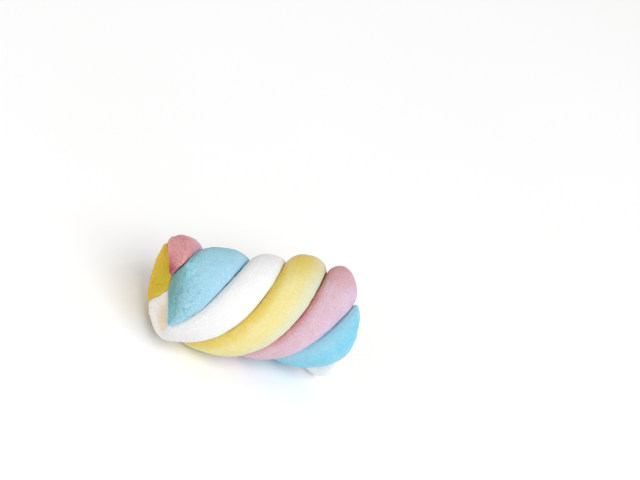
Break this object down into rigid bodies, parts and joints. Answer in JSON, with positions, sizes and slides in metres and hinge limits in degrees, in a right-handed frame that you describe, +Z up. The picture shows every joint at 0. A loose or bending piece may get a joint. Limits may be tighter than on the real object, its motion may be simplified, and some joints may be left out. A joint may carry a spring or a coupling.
{
  "type": "twisted marshmallow",
  "caption": "Twisted marshmallow: soft strands of pink, blue, white and yellow foam wound into a short left-handed rope with cut ends, lying on its side.",
  "frame": {"origin": "under the middle of the rope's bounding box, on the surface that it rests on", "axes": "+X along the rope, +Y across it, +Z up"},
  "size_m": [0.0516, 0.0302, 0.0295],
  "materials": {
    "pink_foam": "matte pastel pink marshmallow foam with a fine starch bloom",
    "blue_foam": "matte pastel blue marshmallow foam with a fine starch bloom",
    "white_foam": "matte white marshmallow foam with a fine starch bloom",
    "yellow_foam": "matte pastel yellow marshmallow foam with a fine starch bloom"
  },
  "bodies": {
    "root": {"strand_pink": "pink_foam", "strand_blue": "blue_foam", "strand_white": "white_foam", "strand_yellow": "yellow_foam"}
  },
  "joints": []
}
